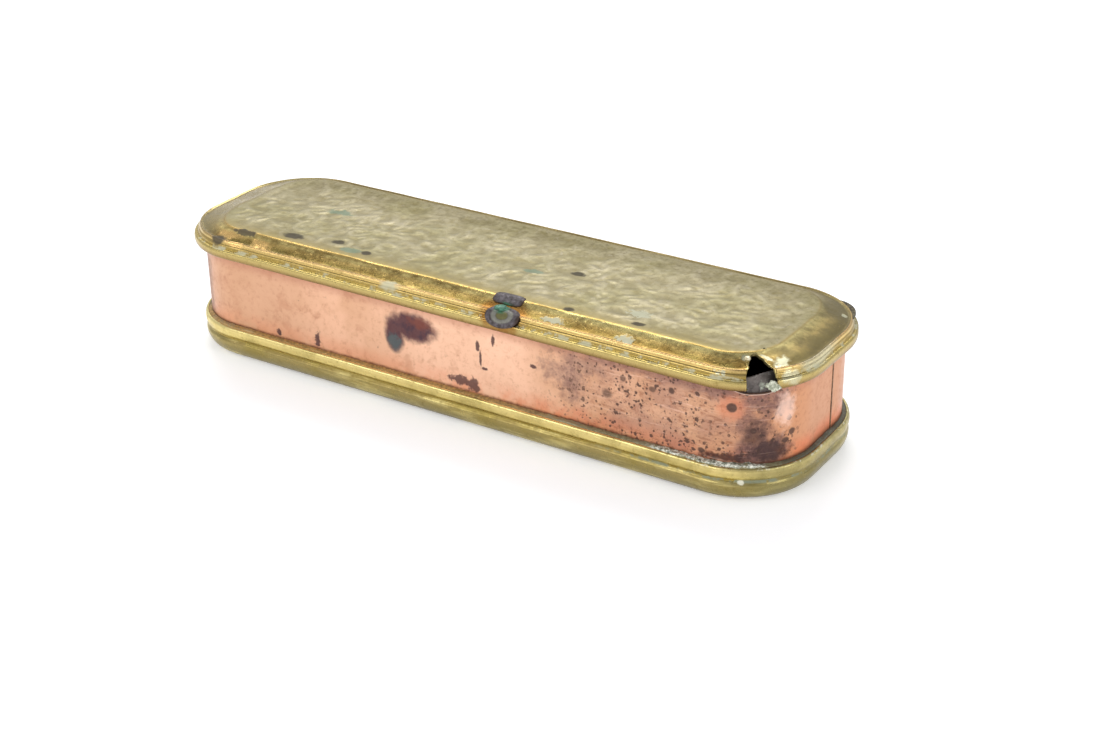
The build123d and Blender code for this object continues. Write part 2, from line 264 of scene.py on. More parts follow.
# ---- relief on the lid panel: worn scrolling stems with curls, and leaves that fill the ground
def relief_lines():
    """Polylines of the stems, curls and leaves, each with a half width and a height."""
    lines = []
    period = 24.0
    reach = 66.0
    off_middle = 7.0
    curl_radius = 4.6
    full_turn = 4.6 * math.pi / 2
    for side in (1, -1):
        xs = np.linspace(-reach, reach, 420)
        ys = side * (off_middle + 4.2 * np.sin(2 * math.pi * xs / period))
        lines.append((np.column_stack([xs, ys]), 1.0, 0.7))
        for k in range(12):
            centre_x = -reach + 5.5 + k * period / 2
            high = 1 if math.sin(2 * math.pi * centre_x / period) > 0 else -1
            centre_y = side * (off_middle - high * 1.6)
            turn = np.linspace(0, full_turn, 70)
            radius = curl_radius * (1 - turn / full_turn * 0.78)
            spin = high * side * turn + (0.6 if k % 2 else 2.4)
            curl = np.column_stack([centre_x + radius * np.cos(spin), centre_y + radius * np.sin(spin)])
            lines.append((curl, 0.8, 0.7))
    # leaves on an uneven net, each a short bent stroke
    rng = np.random.default_rng(7)
    gap = 3.5
    for row in range(11):
        for column in range(42):
            x = -70 + column * gap + (row % 2) * gap / 2 + rng.uniform(-1, 1)
            y = -17 + row * gap + rng.uniform(-0.9, 0.9)
            angle = 2.4 * math.pi * noise.noise(Vector((x / 13, y / 13, 4.0))) + rng.uniform(-0.5, 0.5)
            length = rng.uniform(1.2, 2.5)
            bow = rng.uniform(-0.7, 0.7)
            t = np.linspace(-1, 1, 9)
            along = t * length
            across = bow * (1 - t * t)
            xs = x + along * math.cos(angle) - across * math.sin(angle)
            ys = y + along * math.sin(angle) + across * math.cos(angle)
            lines.append((np.column_stack([xs, ys]), rng.uniform(0.7, 1.3), rng.uniform(0.4, 1.0)))
    return lines


def relief_height(x, y):
    """Height of the relief, 0 to 1, at panel points given in millimetres."""
    height = np.zeros(len(x))
    for line, half_width, share in relief_lines():
        low = line.min(0) - 2.2
        high = line.max(0) + 2.2
        near = (x > low[0]) & (x < high[0]) & (y > low[1]) & (y < high[1])
        if not near.any():
            continue
        px = x[near, None] - line[None, :, 0]
        py = y[near, None] - line[None, :, 1]
        gap = np.sqrt((px * px + py * py).min(1))
        height[near] = np.maximum(height[near], share * np.exp(-((gap / half_width) ** 2)))
    return height


# ---- lid
TEAR = [
    (68.2, -16.0), (68.9, -14.9), (70.5, -15.2), (72.1, -16.0), (73.8, -16.7), (75.0, -17.2),
    (75.6, -18.6), (80.0, -21.5), (79.0, -27.0), (72.6, -25.5), (71.5, -23.2), (70.6, -21.6),
    (69.9, -20.6), (69.3, -18.6),
]
PIN_HOLE = (69.5, -12.5)
PIN_HOLE_RADIUS = 0.24
TEAR_BOTTOM = 20.0
NOTCH_CLEAR = 0.4
NOTCH_TOP = 27.2
NOTCH_IN = 0.9


def ragged(corners, seed, depth=0.3):
    """A closed outline in millimetres through the corners, with small uneven teeth."""
    points = []
    for i, corner in enumerate(corners):
        following = corners[(i + 1) % len(corners)]
        length = math.dist(corner, following)
        count = max(2, round(length / 0.35))
        for k in range(count):
            t = k / count
            x = corner[0] + (following[0] - corner[0]) * t
            y = corner[1] + (following[1] - corner[1]) * t
            side = noise.noise(Vector((x * 0.9, y * 0.9, seed))) * depth
            side += noise.noise(Vector((x * 3.1, y * 3.1, seed))) * depth * 0.4
            across = ((following[1] - corner[1]) / length, (following[0] - corner[0]) / length)
            points.append((x - across[0] * side, y + across[1] * side))
    return points


def inside(points, polygon):
    """True for each point inside the polygon."""
    x, y = points[:, 0], points[:, 1]
    result = np.zeros(len(points), bool)
    for a, b in zip(polygon, np.roll(polygon, -1, axis=0), strict=True):
        crosses = (a[1] > y) != (b[1] > y)
        where = (b[0] - a[0]) * (y - a[1]) / (b[1] - a[1] + 1e-12) + a[0]
        result ^= crosses & (x < where)
    return result


def distance_to(points, polygon):
    """How far each point is from the polygon's edge."""
    best = np.full(len(points), 1e9)
    for a, b in zip(polygon, np.roll(polygon, -1, axis=0), strict=True):
        run = b - a
        t = np.clip(((points - a) @ run) / (run @ run), 0, 1)
        foot = a + t[:, None] * run
        best = np.minimum(best, np.hypot(*(points - foot).T))
    return best


def filled(ring, spacing):
    """Triangles filling the ring with an even net of points."""
    low = ring.min(0)
    high = ring.max(0)
    xs = np.arange(low[0], high[0], spacing)
    ys = np.arange(low[1], high[1], spacing * 0.87)
    net = np.array([(x + (k % 2) * spacing / 2, y) for k, y in enumerate(ys) for x in xs])
    net = net[inside(net, ring) & (distance_to(net, ring[::3]) > spacing * 0.7)]
    points = np.vstack([ring, net])
    edges = [(i, (i + 1) % len(ring)) for i in range(len(ring))]
    result = geometry.delaunay_2d_cdt([Vector(p) for p in points], edges, [], 1, 1e-9)
    return np.array([tuple(v) for v in result[0]]), [tuple(f) for f in result[2]]


def turned(points, faces, upward, offset):
    """The faces turned so that they all face up, or all down, with their numbers shifted."""
    result = []
    for face in faces:
        a, b, c = (points[k] for k in face[:3])
        up = (b[0] - a[0]) * (c[1] - a[1]) - (b[1] - a[1]) * (c[0] - a[0]) > 0
        result.append(tuple(k + offset for k in (face if up == upward else face[::-1])))
    return result


def prism(corners, low, high):
    """Vertices and faces of an upright prism; all in millimetres."""
    count = len(corners)
    area = sum(a[0] * b[1] - b[0] * a[1] for a, b in zip(corners, corners[1:] + corners[:1], strict=True))
    corners = corners if area > 0 else corners[::-1]
    vertices = [(x, y, low) for x, y in corners] + [(x, y, high) for x, y in corners]
    faces = [tuple(range(count))[::-1], tuple(range(count, 2 * count))]
    faces += [(i, (i + 1) % count, count + (i + 1) % count, count + i) for i in range(count)]
    return vertices, faces


def cut_away(obj, prisms):
    """Cuts prisms out of a sheet, right through its thickness, and keeps the result as its mesh."""
    vertices = []
    faces = []
    for points, sides in prisms:
        faces += [tuple(k + len(vertices) for k in side) for side in sides]
        vertices += [tuple(c * MM for c in point) for point in points]
    mesh = bpy.data.meshes.new("cutter")
    mesh.from_pydata(vertices, [], faces)
    cutter = bpy.data.objects.new("cutter", mesh)
    bpy.context.collection.objects.link(cutter)
    cut = obj.modifiers.new("cut", "BOOLEAN")
    cut.operation = "DIFFERENCE"
    cut.solver = "EXACT"
    cut.object = cutter
    evaluated = obj.evaluated_get(bpy.context.evaluated_depsgraph_get())
    solid = bpy.data.meshes.new_from_object(evaluated)
    obj.modifiers.clear()
    obj.data = solid
    bpy.data.objects.remove(cutter)


def make_lid():
    profiles = blended(LID_FRONT, LID_END, path_normals)
    rows, columns = profiles.shape[:2]
    numbers = feature_numbers(LID_FRONT)
    grid = swept_vertices(path, path_normals, profiles)
    # the sheet is dented more where it is crushed beside the torn corner
    crushed = np.exp(-((distance_to(path, np.array(TEAR) * MM) / (CRUSHED_ROUND * MM)) ** 2))
    # the sheet is slightly uneven: shallow dents along the slope and the beads
    uneven = unevenness(grid, (9, 0.10, 1), (3.2, 0.05, 2)) * (1 + crushed[:, None] * 2.0)
    inward = np.clip((numbers - 2) / 2, 0, 1) * np.clip((26 - numbers) / 4, 0, 1)
    push = (np.clip(uneven, -0.4, 0.08) - 0.06) * inward[None, :] * MM
    push_out(grid, path_normals, push)
    slope = np.clip(numbers - 2, 0, 1) * np.clip(9 - numbers, 0, 1)
    grid[:, :, 2] += unevenness(grid, (7, 1, 6)) * slope[None, :] * 0.12 * MM
    faces = swept_faces(rows, columns)
    panel_points, panel_faces = filled(grid[:, 0, :2], PANEL_NET)
    flat = grid.reshape(-1, 3)
    panel = np.column_stack([panel_points, np.full(len(panel_points), LID_TOP * MM)])
    faces += turned(panel_points, panel_faces, True, len(flat))
    vertices = np.vstack([flat, panel])
    feature = np.concatenate([np.tile(numbers, rows), np.full(len(panel), 0.0)])
    # worn relief and a soft unevenness on the panel
    x = vertices[:, 0] / MM
    y = vertices[:, 1] / MM
    margin = HALF_Y / MM - RELIEF_INSET
    past_x = np.maximum(np.abs(x) - (HALF_X / MM - 17), 0)
    past_y = np.maximum(np.abs(y) - (margin - 9), 0) * 1.05
    edge = np.minimum(margin - np.abs(y), 9.6 - np.hypot(past_x, past_y))
    field = np.clip(edge / 1.6, 0, 1) * (feature < 0.5)
    carved = relief_height(x, y)
    worn = np.clip(0.7 + 0.6 * waves(vertices, 14 * MM, 3) + 0.9 * waves(vertices, 3.4 * MM, 8), 0.1, 1)
    fine = waves(vertices, 1.9 * MM, 4)
    vertices[:, 2] += field * (carved * worn * RELIEF_HIGH + fine * GRAIN_HIGH - GROUND_SUNK) * MM
    vertices[:, 2] += field * waves(vertices, 26 * MM, 5) * PANEL_WAVE * MM
    vertices[:, 2] = np.minimum(vertices[:, 2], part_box("lid_shell")[1][2])
    lid = new_object("lid_sheet", vertices, faces, "lid")
    store(lid, "feature", feature)
    store(lid, "relief", field * (carved * worn + fine * 0.15) + (1 - field) * 0.3)
    repair(lid, WELD)
    thicken(lid, SHEET)
    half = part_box("body_knuckle_3")[1][0] / MM + NOTCH_CLEAR
    start, end = HALF_Y / MM - NOTCH_IN, HALF_Y / MM + 6
    notch = [(-half, start), (half, start), (half, end), (-half, end)]
    hole = []
    for k in range(10):
        angle = k * math.pi / 5
        across = (PIN_HOLE_RADIUS * math.cos(angle), PIN_HOLE_RADIUS * math.sin(angle))
        hole.append((PIN_HOLE[0] + across[0], PIN_HOLE[1] + across[1]))
    tear = prism(ragged(TEAR, 3.0), TEAR_BOTTOM, LID_TOP + 3)
    cut_away(lid, [tear, prism(hole, LID_TOP - 3, LID_TOP + 3), prism(notch, TEAR_BOTTOM, NOTCH_TOP)])
    for polygon in lid.data.polygons:
        polygon.use_smooth = True
    sharp_edges(lid, 50)
    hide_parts("lid_shell")
    return lid


def make_flap():
    """A sliver of the lid's ridge that is bent up at the back corner of the torn end."""
    corner = ((HALF_X - CORNER) / MM, (HALF_Y - CORNER) / MM)
    count = 16
    first_angle, turn = 22, 34
    # each line along the sliver: how far out and how high it is, and how much more of both at its middle
    lines = ((0.7, 28.95, 0, 0), (0.85, 29.0, 0.4, 0.1), (0.95, 29.0, 1.0, 0.22))
    vertices = []
    for k in range(count + 1):
        t = k / count
        angle = math.radians(first_angle + turn * t)
        rise = math.sin(math.pi * t) ** 0.8
        for out, up, more_out, more_up in lines:
            radius = CORNER / MM + (out + more_out * rise)
            x, y = corner[0] + radius * math.cos(angle), corner[1] + radius * math.sin(angle)
            vertices.append((x * MM, y * MM, (up + more_up * rise) * MM))
    faces = [(a, a + 1, a + 4, a + 3) for k in range(count) for a in (k * 3, k * 3 + 1)]
    flap = new_object("bent_flap", vertices, faces, "lid")
    shape = flap.modifiers.new("smooth", "SUBSURF")
    shape.levels = 2
    shape.render_levels = 2
    thicken(flap, FLAP_SHEET * MM)
    return flap


def make_lump(name, centre, radii, seed, body, rough=0.3):
    """An uneven lump of solder or crust, in millimetres."""
    ball = bmesh.new()
    bmesh.ops.create_icosphere(ball, subdivisions=4, radius=1.0)
    for vertex in ball.verts:
        swell = 1 + rough * noise.noise(vertex.co * 1.6 + Vector((seed, 0, 0)))
        swell += rough * 0.5 * noise.noise(vertex.co * 4.0 + Vector((0, seed, 0)))
        vertex.co = Vector((centre[k] + radii[k] * vertex.co[k] * swell) * MM for k in range(3))
    vertices = [tuple(v.co) for v in ball.verts]
    faces = [tuple(v.index for v in f.verts) for f in ball.faces]
    ball.free()
    return new_object(name, vertices, faces, body)


# ---- catch, worn flat and lying over the slope and the beads of the lid
CATCH_LINE = [
    (-5.6, 30.72), (-4.2, 30.74), (-3.5, 30.62), (-1.2, 29.5), (0.2, 29.22), (0.9, 28.95), (1.8, 28.0),
    (2.42, 27.2), (2.5, 26.2), (2.4, 25.2),
]


def catch_surface(x, run):
    """Point and outward direction of the catch's seat, run millimetres along it from the panel's side."""
    line = smooth_line(CATCH_LINE, 3)
    steps = np.hypot(*np.diff(line, axis=0).T)
    lengths = np.concatenate([[0], np.cumsum(steps)])
    out = np.interp(run, lengths, line[:, 0])
    up = np.interp(run, lengths, line[:, 1])
    ahead_out = np.interp(run + 0.2, lengths, line[:, 0])
    ahead_up = np.interp(run + 0.2, lengths, line[:, 1])
    size = math.hypot(ahead_out - out, ahead_up - up)
    tilt_out, tilt_up = -(ahead_up - up) / size, (ahead_out - out) / size
    front = -HALF_Y / MM
    return Vector((x, front - out, up)), Vector((0, -tilt_out, tilt_up))


def make_draped(name, node, centre, half, square, height, seed):
    """A thin plate lying on the catch's seat; height(r) is its thickness from its middle to its edge."""
    rings, spokes = 14, 72
    angles = [2 * math.pi * j / spokes for j in range(spokes)]
    vertices = []
    radii = []
    # out over the top, and back in along the underside, which sinks into the seat
    for k, top in [(k, True) for k in range(rings + 1)] + [(k, False) for k in range(rings, -1, -1)]:
        r = k / rings
        for angle in angles:
            c, s = math.cos(angle), math.sin(angle)
            reach = (abs(c) ** square + abs(s) ** square) ** (-1 / square)
            wobble = 1 + 0.05 * noise.noise(Vector((c * 1.5, s * 1.5, seed))) if top else 1
            x = centre[0] + half[0] * r * reach * c * wobble
            run = centre[1] + half[1] * r * reach * s * wobble
            point, normal = catch_surface(x, run)
            uneven = 1 + 0.25 * noise.noise(Vector((x * 0.9, run * 0.9, seed)))
            vertices.append(point + normal * (height(r) * uneven if top else -CATCH_SUNK))
            radii.append(r)
    faces = []
    for k in range(2 * rings + 1):
        for j in range(spokes):
            a, b = k * spokes + j, k * spokes + (j + 1) % spokes
            faces.append((a, a + spokes, b + spokes, b))
    plate = new_object(name, [v * MM for v in vertices], faces, "lid")
    store(plate, "radius", radii)
    repair(plate, 0.001 * MM, True)
    sharp_edges(plate, 60)
    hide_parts(node)
    return plate


def bar_height(r):
    return 0.22 * (1 - r**6) ** 0.5 + 0.02


def oval_height(r):
    rim = math.exp(-(((r - 0.82) / 0.16) ** 2))
    ring = math.exp(-(((r - 0.5) / 0.1) ** 2))
    return (0.12 + 0.2 * rim + 0.1 * ring) * min(1.0, (1 - r) / 0.1 + 0.15)


# ---- side band and the collar inside it
CRUSH = (71.8, -19.0)
COLLAR_DIP = (69.6, -20.2)


def upright_strip(points, normals, outer, inner, low, tops, count=22):
    """Grid of a strip between two distances from the band's face, its top edge as high as each row says."""
    share = np.concatenate([np.linspace(1, 0, count + 1), np.linspace(0, 1, count + 1)])
    out = np.concatenate([np.full(count + 1, outer), np.full(count + 1, inner)])
    up = low + (tops[:, None] - low) * share[None, :]
    profiles = np.stack([np.broadcast_to(out, up.shape), up], axis=2)
    return swept_vertices(points, normals, profiles)


def make_band():
    z_low, z_high = band_low[2] / MM, band_high[2] / MM
    keep = ~((path[:, 0] > HALF_X - 0.1 * MM) & (np.abs(path[:, 1] - SEAM_Y) < STEP))
    start = int(np.argmax(~keep))
    order = np.roll(np.arange(len(path)), -start)
    order = order[keep[order]]
    points = path[order].copy()
    ends = np.array([points[0], points[-1]])
    ends[0, 1] = SEAM_Y + SEAM_HALF
    ends[1, 1] = SEAM_Y - SEAM_HALF
    points = np.vstack([ends[:1], points, ends[1:]])
    normals = np.vstack([[(1, 0)], path_normals[order], [(1, 0)]])
    # the top edge is knocked down under the torn corner
    away = np.hypot(points[:, 0] / MM - CRUSH[0], points[:, 1] / MM - CRUSH[1])
    tops = z_high - CRUSH_DEEP * np.exp(-((away / CRUSH_REACH) ** 4))
    grid = upright_strip(points, normals, 0.0, -COPPER / MM, z_low, tops)
    rows, columns = grid.shape[:2]
    dents = unevenness(grid, (22, 0.10, 11), (7, 0.03, 12)) - DENT_LEVEL
    below = tops[:, None] - grid[:, :, 2] / MM
    fade = np.clip(np.minimum(grid[:, :, 2] / MM - z_low, below) / 2, 0, 1)
    push_out(grid, normals, np.minimum(dents, 0) * fade * MM)
    band = new_object("side_band", grid.reshape(-1, 3), strip_faces(rows, columns), "case")
    store(band, "below", below.reshape(-1))
    store(band, "inside", np.tile(np.arange(columns) > columns // 2, rows).astype(float))
    repair(band, outward=True)
    sharp_edges(band, 50)
    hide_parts("copper_band")
    return band


def make_collar():
    collar_low, collar_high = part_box("inner_collar")
    outer = (collar_high[1] - HALF_Y) / MM
    back = HALF_Y / MM - 6.0
    away = np.hypot(path[:, 0] / MM - COLLAR_DIP[0], path[:, 1] / MM - COLLAR_DIP[1])
    tops = collar_high[2] / MM - DIP_DEEP * np.exp(-((away / DIP_REACH) ** 2))
    tops -= 0.12 * (1 + waves(np.column_stack([path, path[:, 0] * 0]), 6 * MM, 41))
    eased = np.clip((back - path[:, 1] / MM) / 5.0, 0, 1)
    tops = band_high[2] / MM + (tops - band_high[2] / MM) * eased * eased * (3 - 2 * eased)
    grid = upright_strip(path, path_normals, outer, outer - COLLAR_SHEET, collar_low[2] / MM, tops)
    rows, columns = grid.shape[:2]
    faces = swept_faces(rows, columns, True)
    collar = new_object("inner_strip", grid.reshape(-1, 3), faces, "case")
    repair(collar, outward=True)
    sharp_edges(collar, 50)
    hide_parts("inner_collar")
    return collar


# ---- base pan and its solder
def make_base():
    profiles = blended(PAN_FRONT, PAN_END, path_normals)
    rows, columns = profiles.shape[:2]
    numbers = feature_numbers(PAN_FRONT)
    grid = swept_vertices(path, path_normals, profiles)
    uneven = unevenness(grid, (11, 0.08, 21), (3, 0.03, 22)) - DENT_LEVEL
    fade = np.clip((len(PAN_FRONT) - 3 - numbers) / 3, 0, 1)
    push_out(grid, path_normals, np.minimum(uneven, 0) * fade[None, :] * MM)
    faces = swept_faces(rows, columns)
    vertices = grid.reshape(-1, 3)
    floor_points, floor_faces = filled(grid[:, -1, :2], FLOOR_NET)
    floor = np.column_stack([floor_points, np.zeros(len(floor_points))])
    faces += turned(floor_points, floor_faces, False, len(vertices))
    vertices = np.vstack([vertices, floor])
    base = new_object("base_sheet", vertices, faces, "case")
    store(base, "feature", np.concatenate([np.tile(numbers, rows), np.full(len(floor), numbers[-1])]))
    thicken(base, SHEET)
    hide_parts("base_pan")
    return base


def make_solder():
    """Solder in the gap between the band and the lip of the base, crumbly and proud near the torn corner."""
    profile = smooth_line([(0.0, 7.95), (0.3, 7.85), (0.6, 7.7), (0.85, 7.5), (1.05, 7.1)], 2)
    under = np.array([(1.05, 6.3), (0.0, 6.3)])
    profile = np.vstack([profile, under])
    rows, columns = len(path), len(profile)
    grid = swept_vertices(path, path_normals, profile)
    along_front = path[:, 0] / MM * (path[:, 1] < 0)
    crumb = np.clip((along_front - 46) / 10, 0, 1) * np.clip((73.5 - along_front) / 2, 0, 1)
    crumb = np.maximum(crumb, 0.25 * (waves(np.column_stack([path, path[:, 0] * 0]), 13 * MM, 33) > 0.1))
    lumps = unevenness(grid, (0.8, 0.35, 31), (2.2, 0.25, 32))
    free = np.zeros(columns)
    free[: columns - 3] = 1
    lift = np.clip(lumps + 0.1, -0.3, 0.45) * (0.25 + crumb[:, None]) + 0.22 * crumb[:, None]
    grid[:, :, 2] += lift * free[None, :] * MM
    ridge = np.clip(1 - np.abs(np.arange(columns) - columns * 0.45) / (columns * 0.3), 0, 1)
    push_out(grid, path_normals, crumb[:, None] * ridge[None, :] * np.clip(0.25 + lumps, 0, 0.5) * MM)
    faces = swept_faces(rows, columns, True)
    solder = new_object("solder_bead", grid.reshape(-1, 3), faces, "case")
    store(solder, "crumb", np.repeat(crumb, columns))
    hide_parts("base_solder")
    return solder


# ---- materials
def linear(shade):
    """Linear colour of a display colour given from 0 to 255; a socket is returned as it is."""
    if not isinstance(shade, tuple):
        return shade
    shares = (c / 255 for c in shade)
    return (*(c / 12.92 if c <= 0.04045 else ((c + 0.055) / 1.055) ** 2.4 for c in shares), 1.0)


def put(node, key, value):
    """Links another node's output to an input, or sets its value."""
    if hasattr(value, "is_output"):
        node.id_data.links.new(value, node.inputs[key])
    else:
        node.inputs[key].default_value = value


class Graph:
    """Short names for the nodes of one material. Its colour is laid on in coats of display colours."""

    def __init__(self, name, metallic):
        self.material = bpy.data.materials.new(name)
        self.material.use_nodes = True
        self.tree = self.material.node_tree
        self.shader = self.tree.nodes["Principled BSDF"]
        put(self.shader, "Metallic", metallic)
        self.place = self.node("ShaderNodeTexCoord", {}).outputs["Object"]
        split = self.node("ShaderNodeSeparateXYZ", {0: self.place})
        self.axes = dict(zip("xyz", split.outputs, strict=True))
        self.kept = {}
        self.colour = None

    def node(self, kind, inputs, **settings):
        node = self.tree.nodes.new(kind)
        for key, value in settings.items():
            setattr(node, key, value)
        for key, value in inputs.items():
            put(node, key, value)
        return node

    def noise(self, size, detail=6, rough=0.6, warp=0, stretch=None):
        """Noise whose main features are about size millimetres across."""
        key = (size, detail, rough, warp, stretch)
        if key not in self.kept:
            inputs = {"Vector": self.place, "Scale": 1 / (size * MM), "Detail": detail, "Roughness": rough}
            if stretch:
                scaled = self.node("ShaderNodeMapping", {"Vector": self.place, "Scale": stretch})
                inputs["Vector"] = scaled.outputs["Vector"]
            node = self.node("ShaderNodeTexNoise", {**inputs, "Distortion": warp})
            self.kept[key] = node.outputs["Fac"]
        return self.kept[key]

    def pits(self, size, radius, soft=0.35):
        """1 in round pits of about this radius, in cells of this size, both in millimetres."""
        inputs = {"Vector": self.place, "Scale": 1 / (size * MM)}
        cells = self.node("ShaderNodeTexVoronoi", inputs, feature="F1").outputs["Distance"]
        share = radius / size
        edge = self.times(self.less(self.noise(0.9), 0.5), share * 4)
        return self.fall(self.plus(cells, edge), share * (1 - soft), share)

    def attribute(self, name):
        return self.node("ShaderNodeAttribute", {}, attribute_name=name).outputs["Fac"]

    def remap(self, value, low, high, to_low=0, to_high=1):
        inputs = {"Value": value, "From Min": low, "From Max": high, "To Min": to_low, "To Max": to_high}
        return self.node("ShaderNodeMapRange", inputs, interpolation_type="SMOOTHSTEP").outputs["Result"]

    def fall(self, value, low, high):
        """1 up to low, 0 from high."""
        return self.remap(value, low, high, 1, 0)

    def window(self, value, start, full, fade, end):
        """Rises from start to full and falls from fade to end."""
        return self.times(self.remap(value, start, full), self.fall(value, fade, end))

    def along(self, axis, low, high, to_low=0, to_high=1):
        """A soft step between two places on an axis, in millimetres."""
        return self.remap(self.axes[axis], low * MM, high * MM, to_low, to_high)

    def patchy(self, low, high, *pattern):
        """Noise, described as for noise(), with a soft threshold."""
        return self.remap(self.noise(*pattern), low, high)

    def ramp(self, value, span, stops):
        """Colour ramp over 0 to span; stops are (place, shade)."""
        node = self.node("ShaderNodeValToRGB", {"Fac": self.math("DIVIDE", value, span)})
        elements = node.color_ramp.elements
        for element, (place, shade) in zip(elements, (stops[0], stops[-1]), strict=True):
            element.position = place / span
            element.color = linear(shade)
        for place, shade in stops[1:-1]:
            elements.new(place / span).color = linear(shade)
        return node.outputs["Color"]

    def math(self, operation, a, b):
        return self.node("ShaderNodeMath", {0: a, 1: b}, operation=operation).outputs[0]

    def plus(self, a, b):
        return self.math("ADD", a, b)

    def less(self, a, b):
        return self.math("SUBTRACT", a, b)

    def times(self, *values):
        return reduce(lambda a, b: self.math("MULTIPLY", a, b), values)

    def most(self, *values):
        return reduce(lambda a, b: self.math("MAXIMUM", a, b), values)

    def mix(self, amount, a, b):
        """Shade or colour a turning into b."""
        inputs = {"Factor": amount, 6: linear(a), 7: linear(b)}
        return self.node("ShaderNodeMix", inputs, data_type="RGBA").outputs[2]

    def coat(self, shade, *amounts):
        """Lays a shade over the colour, as strongly as the product of the amounts."""
        self.colour = self.mix(self.times(*amounts), self.colour, shade)

    def spot(self, centre, radii, rough=0.35, size=1.6, soft=0.25):
        """1 inside an uneven patch round a place in millimetres, 0 outside."""
        source = self.place
        for operation, numbers in (("SUBTRACT", centre), ("DIVIDE", radii)):
            inputs = {0: source, 1: [number * MM for number in numbers]}
            source = self.node("ShaderNodeVectorMath", inputs, operation=operation).outputs[0]
        length = self.node("ShaderNodeVectorMath", {0: source}, operation="LENGTH").outputs["Value"]
        wobble = self.times(self.less(self.noise(size, 4), 0.5), rough * 4)
        return self.fall(self.plus(length, wobble), 1 - soft, 1 + soft)

    def spots(self, *rows):
        """The strongest of several spots; a row is x, y, z, the radii, rough, size, soft and a strength."""
        return self.most(*(self.times(self.spot(row[:3], row[3:6], *row[6:9]), *row[9:]) for row in rows))

    def bump(self, height, distance, strength):
        inputs = {"Height": height, "Distance": distance * MM, "Strength": strength}
        put(self.shader, "Normal", self.node("ShaderNodeBump", inputs).outputs["Normal"])

    def finish(self, roughness, metallic=None):
        put(self.shader, "Base Color", self.colour)
        put(self.shader, "Roughness", roughness)
        if metallic is not None:
            put(self.shader, "Metallic", metallic)
        return self.material


